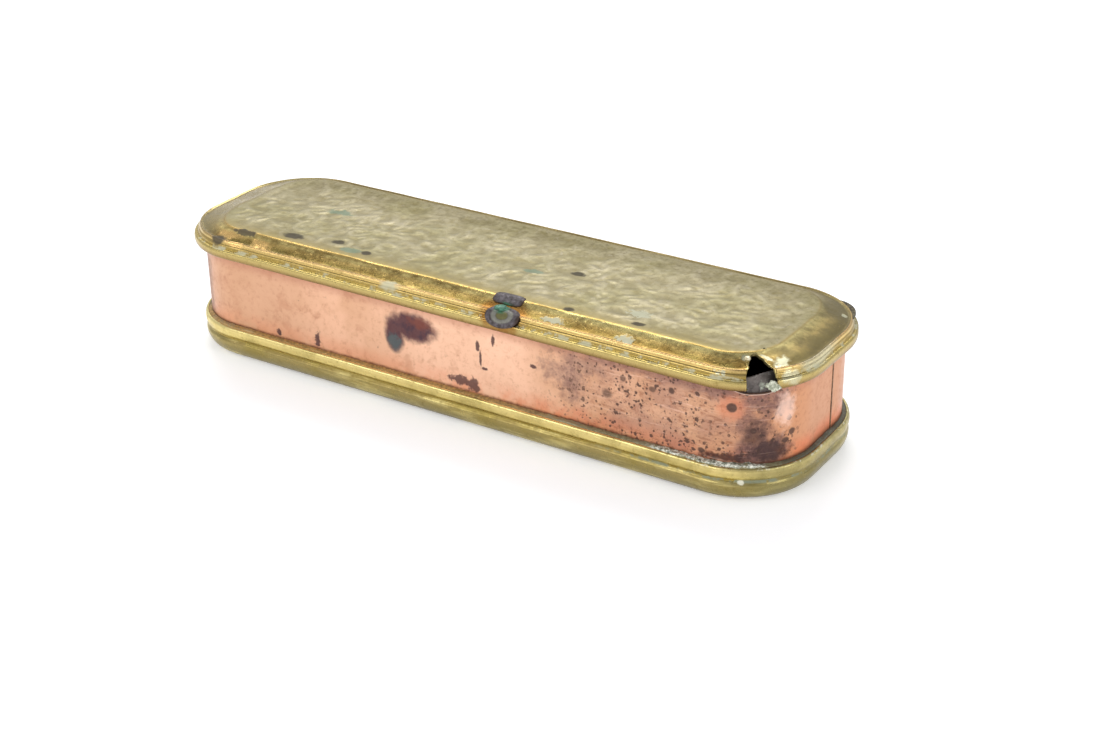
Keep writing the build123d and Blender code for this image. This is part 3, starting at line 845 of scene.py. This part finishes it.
def lid_brass():
    g = Graph("worn lid brass", 1)
    feature = g.attribute("feature")
    relief = g.attribute("relief")
    panel = g.fall(feature, 1.5, 2.6)
    fine = g.noise(1.1, 8, 0.7)
    cloud = g.noise(5, 5)
    # matte panel: lighter on the relief, worn and partly a painted highlight; olive dirt and painted shade
    # in its hollows; yellower towards the front edge
    g.colour = g.mix(g.patchy(0.35, 0.65, 16, 4), (158, 149, 120), (146, 138, 102))
    # painted shade, with olive dirt, in the hollows of the relief
    g.coat((118, 108, 72), g.fall(relief, 0, 0.42), 0.5)
    # worn tops of the relief, lightened further as a painted highlight
    g.coat((178, 169, 144), g.remap(relief, 0.4, 0.8), 0.3)
    g.coat((134, 122, 74), g.patchy(0.5, 0.66, 2.4, 6, 0.7, 0.6), 0.4)
    g.coat((172, 164, 148), g.patchy(0.56, 0.7, 3.1, 6, 0.7, 0.9), 0.4)
    g.coat((116, 104, 66), g.remap(fine, 0.5, 0.75), 0.5)
    g.coat((148, 130, 72), g.along("y", -12.5, -18), 0.65)
    flat = g.colour
    # mouldings from the arris down to the foot, with painted highlights on the arris and the ridge, painted
    # shade on the lower slope and in the groove, and a painted shadow under the rim
    stops = [
        (0, (164, 148, 92)), (1.7, (164, 130, 66)), (2.4, (180, 150, 80)), (3, (254, 238, 164)),
        (3.8, (250, 228, 150)), (4.8, (214, 184, 112)), (6, (150, 130, 70)), (7, (106, 92, 48)),
        (8.2, (92, 78, 40)), (9.2, (196, 160, 106)), (10, (200, 168, 112)), (11.2, (222, 192, 124)),
        (12, (182, 154, 90)), (13, (180, 156, 96)), (14.6, (166, 140, 72)), (16, (196, 174, 102)),
        (17.5, (194, 174, 110)), (19, (180, 158, 100)), (20, (150, 124, 76)), (21.4, (142, 118, 60)),
        (24, (80, 64, 34)),
    ]
    g.colour = g.ramp(feature, 26, stops)
    # the painted highlight on the arris stays bright on the +X half only and is dulled towards -X
    arris = g.times(g.window(feature, 1.8, 2.6, 3.2, 4), g.along("x", 34, 4))
    g.coat((186, 152, 84), arris, 0.65)
    slope = g.window(feature, 2.6, 3.6, 7.2, 8.6)
    g.coat((126, 98, 46), slope, g.remap(cloud, 0.42, 0.66), 0.75)
    g.coat((224, 192, 118), slope, g.patchy(0.55, 0.72, 2.2, 6), 0.5)
    g.coat((124, 100, 50), slope, g.patchy(0.5, 0.66, 1.5, 6, 0.7, 0.3, (0.35, 0.6, 1.4)), 0.6)
    g.coat((120, 98, 42), g.remap(fine, 0.54, 0.72), 0.6)
    # the +X end and the back are painted darker than the front as painted shade, broken by cloudy patches at
    # the end; at the -X end the slope's painted highlights are toned down to the panel's colour
    end_shade = g.times(g.along("x", 63, 72), g.along("y", -18, -10), g.fall(feature, 8, 9))
    g.coat((108, 98, 62), end_shade, g.remap(cloud, 0.35, 0.6, 0.7, 0.92))
    g.coat((158, 144, 98), g.times(g.along("x", -64, -72), g.fall(feature, 9, 13)), 0.8)
    back_shade = g.along("y", 4, 17)
    g.coat((120, 110, 74), back_shade, 0.75)
    # painted highlights: gold glints on the rim at the -X end of the front
    left_glints = g.spots(
        (-62.5, -20, 29.9, 3, 1.6, 0.9, 0.5, 2, 0.4),
        (-53, -20.6, 29.7, 2.6, 1.4, 0.9, 0.5, 2, 0.4),
        (-59, -22.2, 29, 2.6, 0.9, 0.9, 0.5, 2, 0.4),
    )
    g.coat((250, 206, 132), left_glints, 0.8)
    crust = g.times(g.window(feature, 13.4, 14.6, 16.4, 17.6), g.patchy(0.5, 0.6, 3.2, 6, 0.7))
    g.colour = g.mix(panel, g.colour, flat)
    # brown halo round the catch
    g.coat((136, 88, 32), g.spot((13.9, -21.6, 28.6), (5.6, 4.6, 4.2), 0.25, 2.5, 0.25), 0.75)
    # dark corroded spots
    dark = g.spots(
        (-64.3, -21.8, 29.2, 1.9, 1.5, 1.5, 0.3),
        (-48, -14.6, 30.6, 2.6, 1.5, 1.5, 0.3),
        (-37.1, -12.2, 30.6, 1.5, 1.1, 1.1, 0.3),
        (-27.6, -14.2, 30.6, 1.2, 0.9, 1, 0.3),
        (26.8, -16.6, 30.6, 1.1, 0.9, 1, 0.3),
        (42.6, -15.4, 30.6, 1.5, 1, 1, 0.3),
        (18.8, 0.1, 30.6, 1.7, 0.8, 1, 0.4),
        (-59, -18.3, 30.4, 3, 1, 1, 0.6),
    )
    g.coat((74, 66, 48), dark, 0.9)
    green = g.spots(
        (-31.7, -14.8, 30.6, 2.2, 1.2, 1, 0.5),
        (9.7, -3.6, 30.6, 2.2, 0.9, 1, 0.6),
        (-47.4, 2, 30.6, 3, 1.4, 1, 0.7),
    )
    g.coat((134, 158, 134), green, 0.6)
    # pale residue beside the torn corner; scraped bare metal round the tear, a painted highlight at the back
    # corner and a painted highlight line along the ridge at the +X end
    residue = g.spots(
        (40.4, -10.9, 30.6, 2.4, 1.5, 1, 0.8, 0.7),
        (42.6, -20.6, 29.5, 1.9, 1, 1, 0.7, 0.9),
        (-15.5, -22.4, 28.9, 2, 1.2, 1.2, 0.5, 1.4, 0.6),
        (25.5, -20.4, 29.6, 2.4, 0.9, 1, 0.7, 1),
    )
    pale = g.most(crust, residue)
    g.coat((208, 208, 180), pale, 0.72)
    # painted highlight: a whitish line along the ridge at the +X end
    end_ridge_glint = g.spot((78.6, -7, 28.8), (2, 7, 1.6), 0.3, 3, 0.4)
    end_ridge_glint = g.times(end_ridge_glint, g.remap(feature, 8.4, 9.2), 0.8)
    bare_metal_and_glint = g.spots(
        (68, -17, 30.2, 0.9, 0.9, 1, 0.25, 0.9),
        (74.2, -13.9, 29.9, 1.1, 2.1, 1.2, 0.6, 1.2, 0.4),
        (77.2, -14.4, 27.2, 1.2, 1.8, 1.3, 0.4, 1.6, 0.4, 0.8),
        (76.4, -15.9, 28.4, 0.8, 1.5, 1.8, 0.25, 2, 0.4),
        (71.6, -14.6, 30.2, 1.6, 0.5, 0.8, 0.4, 0.8),
        (66.4, -22.8, 28.6, 2.6, 0.8, 0.6, 0.9, 0.8),
        # painted highlight at the back corner of the torn end
        (75.4, 12.4, 29.5, 0.7, 0.7, 1, 0.4, 0.8),
    )
    g.coat((206, 204, 174), g.most(end_ridge_glint, bare_metal_and_glint), g.remap(fine, 0.26, 0.44, 0.6, 1), 0.8)
    height = g.plus(g.times(fine, 0.7), g.times(g.noise(0.45, 4), 0.35))
    height = g.less(height, g.times(g.pits(1.7, 0.32), 0.5))
    height = g.plus(height, g.times(g.most(dark, pale), 0.5))
    g.bump(height, 0.07, 0.6)
    rough = g.plus(g.remap(fine, 0.3, 0.75, 0.2, 0.38), g.times(panel, 0.2))
    matte = g.most(dark, pale, green, g.times(back_shade, 0.7), g.times(end_shade, 0.4))
    rough = g.plus(rough, g.times(matte, 0.3))
    metal = g.less(1, g.times(g.most(dark, pale, green), 0.75))
    metal = g.less(metal, g.times(panel, 0.12))
    return g.finish(rough, metal)


def base_brass():
    g = Graph("worn base brass", 1)
    feature = g.attribute("feature")
    fine = g.noise(1.3, 8, 0.7)
    # from the lip down over the two beads to the floor, with a painted highlight on the lip and painted
    # shade in the groove and under the lower bead
    stops = [
        (0, (190, 166, 90)), (1, (250, 238, 172)), (2.2, (222, 202, 134)), (3.6, (218, 198, 128)),
        (5, (232, 212, 132)), (6.4, (196, 172, 90)), (7.4, (130, 114, 64)), (8.4, (130, 114, 70)),
        (9.6, (160, 144, 92)), (11, (154, 140, 90)), (12.6, (146, 132, 84)), (14, (112, 100, 60)),
        (16, (90, 80, 48)),
    ]
    g.colour = g.ramp(feature, 17, stops)
    g.coat((146, 130, 66), g.patchy(0.42, 0.7, 9, 5), 0.6)
    g.coat((236, 220, 150), g.patchy(0.5, 0.7, 4, 4, 0.6, 0, (0.25, 0.25, 2)), 0.45)
    g.coat((120, 102, 46), g.remap(fine, 0.54, 0.74), 0.6)
    g.coat((132, 126, 88), g.along("x", 67, 76), 0.55)
    groove = g.window(feature, 5.6, 6.4, 7.4, 8.4)
    residue = g.times(groove, g.patchy(0.46, 0.56, 3.5, 6, 0.7), g.along("x", 30, 55))
    g.coat((132, 142, 122), residue, 0.8)
    dot = g.spot((69.7, -21, 4.6), (0.7, 0.6, 0.5), 0.2, 0.8)
    lip = g.times(g.window(feature, 0.4, 1.2, 1.8, 2.6), g.along("x", 50, 62))
    white = g.most(dot, g.times(lip, g.patchy(0.55, 0.62, 1.4, 6, 0.7), 0.8))
    g.coat((236, 234, 214), white, 0.85)
    g.bump(g.plus(fine, g.times(g.noise(0.45, 4), 0.4)), 0.06, 0.5)
    rough = g.plus(g.remap(fine, 0.3, 0.75, 0.24, 0.44), g.times(g.most(residue, white), 0.3))
    metal = g.less(1, g.times(g.most(residue, white), 0.7))
    return g.finish(rough, metal)


def copper():
    g = Graph("handled copper", 1)
    fine = g.noise(1, 8, 0.7)
    cloud = g.noise(7, 5)
    # pale and pink in the middle of the front, browner towards both ends and along the bottom edge, darker
    # along the top edge with tarnish and a painted shadow of the lid's rim
    g.colour = g.mix(g.patchy(0.35, 0.65, 13, 5), (230, 182, 150), (212, 164, 130))
    g.coat((246, 200, 170), g.times(g.along("x", -34, -4), g.along("x", 14, 30, 1, 0)), 0.7)
    g.coat((200, 154, 122), g.along("x", -30, -50), 0.7)
    blotch = g.times(g.patchy(0.5, 0.66, 4, 6, 0.65, 0.4), g.along("x", -10, 20, 1, 0.3))
    g.coat((186, 132, 102), blotch, 0.4)
    g.coat((200, 142, 104), g.along("x", 58, 76), 0.85)
    low = g.along("z", 9, 13, 1, 0)
    g.coat((222, 128, 88), low, g.along("x", -30, 40, 0.25, 0.8), g.remap(cloud, 0.3, 0.6))
    # darker towards the top edge: tarnish and a painted shadow under the lid's rim
    g.coat((176, 118, 96), g.along("z", 21.5, 24.6), 0.55)
    # grey violet bloom over the pitted right half
    right = g.times(g.along("x", 26, 46), g.along("x", 66, 78, 1, 0))
    g.coat((164, 124, 112), g.times(right, g.remap(cloud, 0.4, 0.62)), 0.5)
    g.coat((176, 128, 100), right, 0.25)
    g.coat((160, 104, 78), g.remap(fine, 0.5, 0.72), g.plus(g.times(right, 0.4), 0.3))
    g.coat((140, 92, 72), g.patchy(0.52, 0.66, 1.3, 6, 0.7, 0.3, (0.4, 0.4, 1.6)), right, 0.55)
    violet = g.spots(
        (30.4, -21.6, 18.2, 2.6, 4, 5, 0.6, 2.4, 0.7, 0.75),
        (26.2, -21.6, 18.4, 3.4, 4, 2.6, 0.9, 2.2, 0.7, 0.6),
        (33.5, -21.6, 21.6, 4, 4, 1.8, 0.8, 2.2, 0.7, 0.6),
        (72.6, -17.2, 21.5, 5, 4.5, 3, 0.6, 2.4, 0.5, 0.9),
        (71.3, -18.4, 16.5, 3, 4.5, 4, 0.7, 2.4, 0.6, 0.75),
        (72.5, -17.3, 9.6, 6.2, 4.5, 4, 0.6, 2, 0.5),
        # these two long rows along the top edge are tarnish and partly a painted shadow under the lid's rim
        (62, -21.5, 24, 11, 3, 1.6, 0.7, 2, 0.6, 0.7),
        (43, -21.5, 23.9, 14, 3, 1, 0.8, 2, 0.6, 0.5),
        (-71.8, -18.2, 16, 2.4, 2.2, 14, 0.4, 3, 0.5, 0.6),
    )
    g.coat((100, 70, 74), violet, g.remap(fine, 0.34, 0.56, 0.55, 1), 0.8)
    core = g.spots(
        (73.6, -16.6, 10.6, 4.6, 3.8, 3.2, 0.7, 1.8, 0.5),
        (71.2, -18.6, 14.2, 2.2, 3, 3, 0.7, 1.6, 0.6, 0.8),
        (66.5, -20.9, 9.1, 5, 2.5, 0.9, 0.9, 1.6, 0.5),
    )
    g.coat((62, 42, 42), core, 0.85)
    # the large dark stain with its blue-grey foot
    stain = g.spots(
        (-10.4, -21.6, 19.6, 6, 3, 3.2, 0.2, 2.4, 0.3),
        (-15.2, -21.6, 17, 2.4, 3, 4, 0.18, 2, 0.3),
    )
    g.coat((84, 44, 52), stain, 0.95)
    g.coat((58, 40, 56), stain, g.patchy(0.45, 0.65, 2.2, 5), 0.6)
    g.coat((84, 92, 92), g.spot((-15.4, -21.6, 14.6), (2.2, 3, 2.2), 0.5, 1.2, 0.5), stain, 0.9)
    g.coat((134, 70, 52), g.spot((-7.5, -21.6, 21.2), (3.5, 3, 1.4), 0.5, 1.4, 0.4), stain, 0.6)
    # a thin run, smudges at the foot and small marks
    small = g.spots(
        (6.9, -21.6, 19.4, 0.5, 3, 1.1, 0.4, 0.9),
        (7.6, -21.6, 16.6, 0.32, 3, 1.8, 0.5, 0.9),
        (8.6, -21.6, 14.5, 0.8, 3, 0.35, 0.4, 0.9),
        (10.9, -21.6, 21.6, 0.4, 3, 1.3, 0.5, 0.9),
        (20.9, -21.6, 18.2, 0.8, 3, 0.45, 0.4, 0.9),
        (-37, -21.6, 10.2, 0.8, 3, 1.6, 0.9, 1.2),
        (-48.5, -21.6, 9.4, 0.6, 3, 0.8, 0.6, 0.9),
    )
    smudge = g.spots((2.2, -21.6, 10.2, 2.6, 3, 1.1, 0.7, 1.2), (5.6, -21.6, 9.8, 1.5, 3, 1.6, 0.6, 1.2))
    marks = g.most(small, g.times(smudge, 0.95))
    g.coat((74, 44, 46), marks, 0.88)
    # pits, thick on the right half
    where = g.times(g.along("x", 18, 38), g.along("y", -9, -13), g.patchy(0.28, 0.5, 6, 3))
    speckle = g.patchy(0.57, 0.65, 0.8, 6, 0.75, 0.4)
    pits = g.most(g.pits(3.4, 0.62), g.pits(2, 0.42), g.pits(1.25, 0.3), g.times(speckle, 0.8))
    spots = g.spots(
        (67, -20.7, 20.5, 1.05, 1.2, 1.05, 0.12, 1, 0.2),
        (39, -21.6, 16.7, 1.2, 1.5, 0.9, 0.3, 1, 0.4, 0.8),
        (53.9, -21.6, 21.2, 0.7, 1.5, 0.7, 0.3, 1, 0.3),
        (42.7, -21.6, 21, 0.7, 1.5, 0.7, 0.3, 1, 0.3, 0.8),
        (49.5, -21.6, 20.3, 0.8, 1.5, 0.6, 0.3, 1, 0.3, 0.8),
        (60.9, -21.6, 9.8, 0.8, 1.5, 0.5, 0.3, 1, 0.3),
        (70.9, -18.7, 15.5, 0.6, 1, 0.6, 0.3, 1, 0.3),
        (76.2, -12.2, 14.1, 0.5, 1, 0.7, 0.3, 1, 0.3),
        (75.5, -13.6, 12.4, 0.6, 1, 0.6, 0.3, 1, 0.3),
    )
    sparse = g.times(g.pits(6.5, 0.55), g.patchy(0.46, 0.6, 9, 3), 0.8)
    pitted = g.most(g.times(pits, where), spots, sparse)
    g.coat((74, 50, 42), pitted, 0.85)
    ring = g.spot((67, -20.7, 20.5), (2.9, 2.6, 2.6), 0.3, 1.4, 0.4)
    g.coat((226, 136, 98), g.times(ring, g.less(1, spots)), 0.4)
    # dark line where the band meets the base, tarnish and partly painted shade, and the worn bright ledge at
    # its top
    line = g.times(g.along("z", 8, 8.7, 1, 0), g.remap(fine, 0.3, 0.6, 0.45, 1))
    g.coat((112, 66, 44), line, 0.75)
    knocked = g.spot((71.5, -19, 24), (5, 5, 3), 0.2)
    g.coat((236, 206, 190), g.times(g.fall(g.attribute("below"), 0.03, 0.22), knocked), 0.75)
    # painted highlight: a pale streak on the corner of the band under the tear
    g.coat((250, 214, 196), g.spot((75.4, -13.8, 19.6), (1.6, 2.2, 3.6), 0.5, 2, 0.6), 0.6)
    g.coat(g.mix(g.remap(cloud, 0.4, 0.6), (170, 116, 86), (132, 86, 62)), g.attribute("inside"))
    scratch = g.patchy(0.6, 0.68, 0.5, 3, 0.6, 0, (0.06, 0.06, 1))
    g.coat((248, 206, 184), scratch, right, 0.3)
    height = g.less(g.times(fine, 0.6), g.times(pitted, 0.8))
    for raised in (scratch, stain):
        height = g.plus(height, g.times(raised, 0.15))
    g.bump(height, 0.07, 0.5)
    # stains, pits and marks, with the partly painted shadow rows and joint line, make the band rougher and
    # less metallic
    stains_and_shade = g.most(stain, violet, marks, pitted, g.times(line, 0.7))
    rough = g.plus(g.remap(fine, 0.3, 0.75, 0.3, 0.46), g.times(stains_and_shade, 0.2))
    return g.finish(rough, g.less(1, g.times(stains_and_shade, 0.55)))


def grey_metal(name, light, dark, metallic=0.7, size=0.9):
    """A rough metal or crust of two shades."""
    g = Graph(name, metallic)
    fine = g.noise(size, 8, 0.7)
    g.colour = g.mix(g.remap(fine, 0.38, 0.66), light, dark)
    g.coat(dark, g.patchy(0.5, 0.68, size * 4, 5), 0.5)
    g.bump(fine, 0.09, 0.8)
    return g.finish(g.remap(fine, 0.3, 0.8, 0.4, 0.72))


def solder_metal():
    """Thin brown solder along the lip, white and crumbly where there is much of it."""
    g = Graph("crumbly solder", 0.5)
    fine = g.noise(0.7, 8, 0.7)
    g.colour = g.mix(g.along("x", 0, 40), (196, 158, 96), (150, 144, 112))
    g.coat((96, 98, 84), g.along("y", -17, -13))
    g.coat((110, 90, 60), g.remap(fine, 0.42, 0.6), 0.6)
    white = g.mix(g.remap(fine, 0.42, 0.6), (120, 124, 108), (240, 240, 226))
    g.coat(white, g.remap(g.attribute("crumb"), 0.15, 0.6), g.patchy(0.38, 0.5, 1.6, 5, 0.7))
    g.bump(fine, 0.14, 0.9)
    return g.finish(g.remap(fine, 0.3, 0.8, 0.35, 0.7))


def dark_strip():
    """Dark tinned strip with a smear of solder under the torn corner."""
    g = Graph("dark tinned strip", 0.6)
    fine = g.noise(1, 8, 0.7)
    g.colour = g.mix(g.patchy(0.36, 0.66, 5, 6), (112, 104, 99), (84, 77, 74))
    g.coat((58, 53, 51), g.remap(fine, 0.46, 0.7), 0.7)
    g.coat((168, 164, 158), g.patchy(0.58, 0.66, 1.5, 6, 0.7, 0.8), 0.5)
    smear = g.spot((73.6, -18.6, 25.6), (1.9, 1.9, 1.5), 0.6, 1.2, 0.4)
    g.coat((196, 206, 184), smear, g.remap(fine, 0.32, 0.5), 0.85)
    g.coat((148, 140, 134), g.along("z", 27.7, 28.1), 0.6)
    g.bump(fine, 0.09, 0.7)
    return g.finish(g.remap(fine, 0.3, 0.8, 0.34, 0.6))


def inner_brass():
    """Dull uneven brass, for the inside of the pressings."""
    g = Graph("dull inner brass", 1)
    fine = g.noise(1.4, 8, 0.7)
    g.colour = g.mix(g.patchy(0.36, 0.64, 11, 6), (176, 158, 104), (142, 124, 76))
    g.coat((112, 92, 56), g.patchy(0.5, 0.68, 3.5, 6, 0.7, 0.5), 0.5)
    g.coat((196, 180, 128), g.remap(fine, 0.5, 0.72), 0.4)
    g.bump(fine, 0.05, 0.5)
    return g.finish(g.remap(fine, 0.3, 0.75, 0.38, 0.58))


def catch_metal():
    """Grey violet plate whose inner ring is painted paler on its front arc as a painted highlight, and green
    and olive corrosion in the middle.
    """
    g = Graph("corroded catch", 0.55)
    fine = g.noise(0.8, 8, 0.7)
    radius = g.attribute("radius")
    g.colour = g.mix(g.remap(fine, 0.36, 0.64), (102, 96, 100), (66, 58, 56))
    low = g.along("y", -21.3, -20.9, 1, 0)
    # painted highlight: the paler front arc of the inner ring
    g.coat((142, 142, 130), g.window(radius, 0.3, 0.42, 0.56, 0.7), low, 0.7)
    g.coat((108, 106, 60), g.times(g.fall(radius, 0.28, 0.4), low), 0.85)
    g.coat((58, 116, 88), g.spot((13.2, -20.6, 29.3), (1.8, 1.6, 1.4), 0.4, 1, 0.4), 0.9)
    g.coat((72, 50, 34), g.remap(radius, 0.82, 1), g.patchy(0.35, 0.6, 2.5, 4), 0.75)
    g.bump(fine, 0.12, 0.9)
    return g.finish(g.remap(fine, 0.3, 0.8, 0.42, 0.7))


# ---- the pieces and their materials
def paint_sheet(obj, outer, inner):
    for k, material in enumerate((outer, inner)):
        obj.data.materials[k] = material


lid = make_lid()
flap = make_flap()
band = make_band()
collar = make_collar()
base = make_base()
solder = make_solder()
bar = make_draped("catch_bar_worn", "catch_bar", (13.0, 2.1), (3.7, 1.75), 4.0, bar_height, 5.0)
oval = make_draped("catch_oval_worn", "catch_plate", (14.2, 7.1), (4.1, 2.75), 2.2, oval_height, 9.0)
crust = make_lump("green_crust", (12.9, -20.9, 29.5), (1.6, 1.15, 0.42), 2.0, "lid")
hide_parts("catch_rivet")
smear = make_lump("corner_solder", (74.5, -18.1, 26.1), (1.25, 0.95, 0.8), 4.0, "lid", 0.6)
blob = make_lump("edge_blob", (68.2, -16.9, 30.05), (0.62, 0.62, 0.4), 6.0, "lid", 0.25)

inner = inner_brass()
dark_brass = grey_metal("bent dark brass", (92, 84, 60), (40, 36, 30), 0.8, 0.8)
paint_sheet(lid, lid_brass(), inner)
paint_sheet(flap, dark_brass, dark_brass)
paint_sheet(base, base_brass(), inner)
grey_catch = catch_metal()
finishes = [
    (band, copper()),
    (collar, dark_strip()),
    (solder, solder_metal()),
    (bar, grey_catch),
    (oval, grey_catch),
    (crust, grey_metal("verdigris", (92, 150, 122), (40, 86, 68), 0.1, 0.8)),
    (smear, grey_metal("pale solder", (232, 234, 214), (150, 156, 132), 0.4, 0.7)),
    (blob, grey_metal("bright bead", (250, 240, 212), (206, 190, 150), 0.7, 0.8)),
]
for piece, material in finishes:
    piece.data.materials.append(material)

# the CAD nodes that stay: the hinge, its pin and the seam
hinge_brass = grey_metal("dull hinge brass", (178, 160, 102), (142, 124, 74), 1.0, 2.4)
cad_finishes = {
    "seam_solder": grey_metal("brown seam", (128, 96, 58), (84, 60, 38)),
    "hinge_pin": grey_metal("dark iron", (110, 98, 90), (60, 50, 44)),
}
for name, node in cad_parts.items():
    if name in cad_finishes or "knuckle" in name or "bearer" in name:
        for slot in node.material_slots:
            slot.material = cad_finishes.get(name, hinge_brass)


# ---- floor, light and camera
def make_stage():
    mesh = bpy.data.meshes.new("floor")
    reach = 3.0
    corners = [(x * reach, y * reach, 0) for x, y in ((-1, -1), (1, -1), (1, 1), (-1, 1))]
    mesh.from_pydata(corners, [], [(0, 1, 2, 3)])
    floor = bpy.data.objects.new("floor", mesh)
    bpy.context.collection.objects.link(floor)
    white = bpy.data.materials.new("white table")
    white.use_nodes = True
    settings = {
        "Base Color": (0.93, 0.94, 0.96, 1),
        "Roughness": 0.9,
        "Specular IOR Level": 0.1,
        "Emission Color": (1, 1, 1, 1),
        "Emission Strength": 0.34,
    }
    for name, value in settings.items():
        white.node_tree.nodes["Principled BSDF"].inputs[name].default_value = value
    mesh.materials.append(white)


def area_light(name, place, target, size, power):
    data = bpy.data.lights.new(name, "AREA")
    data.shape = "RECTANGLE"
    data.size, data.size_y = size
    data.energy = power
    light = bpy.data.objects.new(name, data)
    light.location = place
    light.rotation_euler = (Vector(target) - Vector(place)).to_track_quat("-Z", "Y").to_euler()
    bpy.context.collection.objects.link(light)


def make_world():
    """Pale room, brightest near the horizon and greyer overhead."""
    world = bpy.data.worlds.new("soft room")
    world.use_nodes = True
    tree = world.node_tree
    place = tree.nodes.new("ShaderNodeTexCoord")
    split = tree.nodes.new("ShaderNodeSeparateXYZ")
    tree.links.new(place.outputs["Generated"], split.inputs[0])
    ramp = tree.nodes.new("ShaderNodeValToRGB")
    tree.links.new(split.outputs[2], ramp.inputs["Fac"])
    elements = ramp.color_ramp.elements
    elements[0].color = (1.0, 1.0, 1.0, 1)
    elements[1].color = (0.34, 0.35, 0.37, 1)
    elements.new(0.5).color = (0.9, 0.9, 0.92, 1)
    background = tree.nodes["Background"]
    tree.links.new(ramp.outputs["Color"], background.inputs["Color"])
    background.inputs["Strength"].default_value = 0.8
    bpy.context.scene.world = world


make_stage()
make_world()
area_light("back soft box", (-0.40, 0.62, 0.85), (0, 0, 0.02), (0.8, 0.4), 6)
area_light("front soft box", (-0.45, -0.95, 0.75), (0, 0, 0.01), (0.9, 0.6), 4)
area_light("end soft box", (0.95, -0.10, 0.5), (0, 0, 0.01), (0.5, 0.5), 2)
bpy.context.scene.view_settings.view_transform = "Standard"

CAMERA_PLACE = Vector((0.21665, -0.31597, 0.19262))
CAMERA_YAW = math.radians(33.04)
CAMERA_PITCH = math.radians(26.27)
CAMERA_ROLL = math.radians(-0.89)
camera_data = bpy.data.cameras.new("camera")
camera_data.sensor_width = 36.0
camera_data.lens = 61.9
camera_data.clip_start = 0.01
camera = bpy.data.objects.new("camera", camera_data)
turn = Matrix.Rotation(CAMERA_YAW, 4, "Z") @ Matrix.Rotation(math.pi / 2 - CAMERA_PITCH, 4, "X")
camera.matrix_world = Matrix.Translation(CAMERA_PLACE) @ turn @ Matrix.Rotation(CAMERA_ROLL, 4, "Z")
bpy.context.collection.objects.link(camera)
bpy.context.scene.camera = camera
